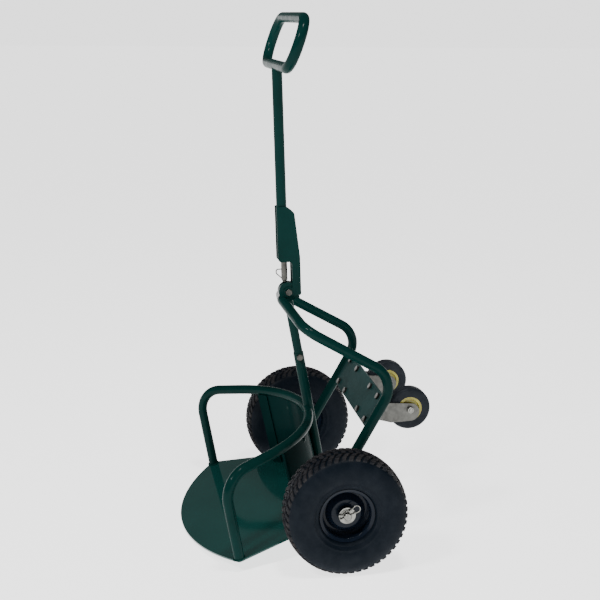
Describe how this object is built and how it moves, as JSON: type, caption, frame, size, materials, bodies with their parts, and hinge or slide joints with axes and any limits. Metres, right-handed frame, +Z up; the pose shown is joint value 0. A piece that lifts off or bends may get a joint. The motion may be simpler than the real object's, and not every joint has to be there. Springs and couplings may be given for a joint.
{
  "type": "plant pot hand truck",
  "caption": "Tilting hand truck for heavy plant pots: wide pneumatic wheels, toe plate with a curved cradle and hoop, laid-back casters and a folding loop handle.",
  "frame": {"origin": "middle of the footprint, on the floor", "axes": "+Z up, +X along the axle towards the side seen in the picture, +Y to the rear (the side with the casters); the toe plate points to -Y"},
  "size_m": [0.6864, 0.5429, 1.1268],
  "materials": {
    "green_paint": "gloss, dark green powder coat",
    "tyre_rubber": "matt black rubber",
    "rim_black": "satin black paint",
    "zinc": "bright zinc plate",
    "caster_rubber": "satin dark grey rubber",
    "caster_core": "satin pale yellow moulding",
    "bush_grey": "matt dark grey"
  },
  "bodies": {
    "frame": {"toe_plate": "green_paint", "hoop_tube": "green_paint", "cradle_sheet": "green_paint", "cradle_strip_left": "green_paint", "cradle_strip_right": "green_paint", "cradle_rivets": "green_paint", "rear_frame": "green_paint", "mast_foot": "green_paint", "mast_lower": "green_paint", "mast_upper": "green_paint", "mast_bolt": "zinc", "mast_nut": "zinc", "caster_plate": "green_paint", "caster_plate_bolts": "zinc", "caster_plate_nuts": "zinc", "caster_top_left": "zinc", "caster_top_right": "zinc", "caster_race_left": "zinc", "caster_race_right": "zinc", "caster_kingpin_left": "zinc", "caster_kingpin_right": "zinc", "axle": "zinc", "axle_clips": "zinc", "axle_washers": "zinc", "axle_spacers": "green_paint", "hinge_saddle": "green_paint", "hinge_bolt": "zinc", "hinge_nut": "zinc"},
    "wheel_left": {"tyre_left": "tyre_rubber", "rim_outer_left": "rim_black", "rim_inner_left": "rim_black", "hub_left": "rim_black", "hub_bushes_left": "bush_grey"},
    "caster_swivel_left": {"caster_fork_left": "zinc", "caster_axle_bolt_left": "zinc", "caster_axle_nut_left": "zinc"},
    "caster_wheel_left": {"caster_core_left": "caster_core", "caster_tyre_left": "caster_rubber"},
    "wheel_right": {"tyre_right": "tyre_rubber", "rim_outer_right": "rim_black", "rim_inner_right": "rim_black", "hub_right": "rim_black", "hub_bushes_right": "bush_grey"},
    "caster_swivel_right": {"caster_fork_right": "zinc", "caster_axle_bolt_right": "zinc", "caster_axle_nut_right": "zinc"},
    "caster_wheel_right": {"caster_core_right": "caster_core", "caster_tyre_right": "caster_rubber"},
    "handle": {"latch_bracket": "green_paint", "latch_guides": "green_paint", "handle_tube": "green_paint", "grip_loop": "green_paint", "plunger_spring": "zinc"},
    "plunger": {"plunger": "zinc", "plunger_pull": "zinc"}
  },
  "joints": [
    {"name": "wheel_left_spin", "type": "hinge", "parent": "frame", "child": "wheel_left", "pos_m": [-0.3, 0.0444, 0.13], "axis": [1, 0, 0], "continuous": true},
    {"name": "caster_left_swivel", "type": "hinge", "parent": "frame", "child": "caster_swivel_left", "pos_m": [-0.104, 0.13496, 0.29418], "axis": [0, 0.8756, -0.483], "continuous": true},
    {"name": "caster_left_spin", "type": "hinge", "parent": "caster_swivel_left", "child": "caster_wheel_left", "pos_m": [-0.104, 0.22441, 0.28138], "axis": [1, 0, 0], "continuous": true},
    {"name": "wheel_right_spin", "type": "hinge", "parent": "frame", "child": "wheel_right", "pos_m": [0.3, 0.0444, 0.13], "axis": [1, 0, 0], "continuous": true},
    {"name": "caster_right_swivel", "type": "hinge", "parent": "frame", "child": "caster_swivel_right", "pos_m": [0.104, 0.13496, 0.29418], "axis": [0, 0.8756, -0.483], "continuous": true},
    {"name": "caster_right_spin", "type": "hinge", "parent": "caster_swivel_right", "child": "caster_wheel_right", "pos_m": [0.104, 0.22441, 0.28138], "axis": [1, 0, 0], "continuous": true},
    {"name": "handle_fold", "type": "hinge", "parent": "frame", "child": "handle", "pos_m": [0, -0.02999, 0.52776], "axis": [1, 0, 0], "range_deg": [0, 95]},
    {"name": "plunger_lift", "type": "slide", "parent": "handle", "child": "plunger", "axis": [0, -0.0387, 0.9993], "range_m": [0, 0.012], "stiffness_N_per_m": 800, "springref_m": -0.006, "deforming": ["plunger_spring"]}
  ]
}
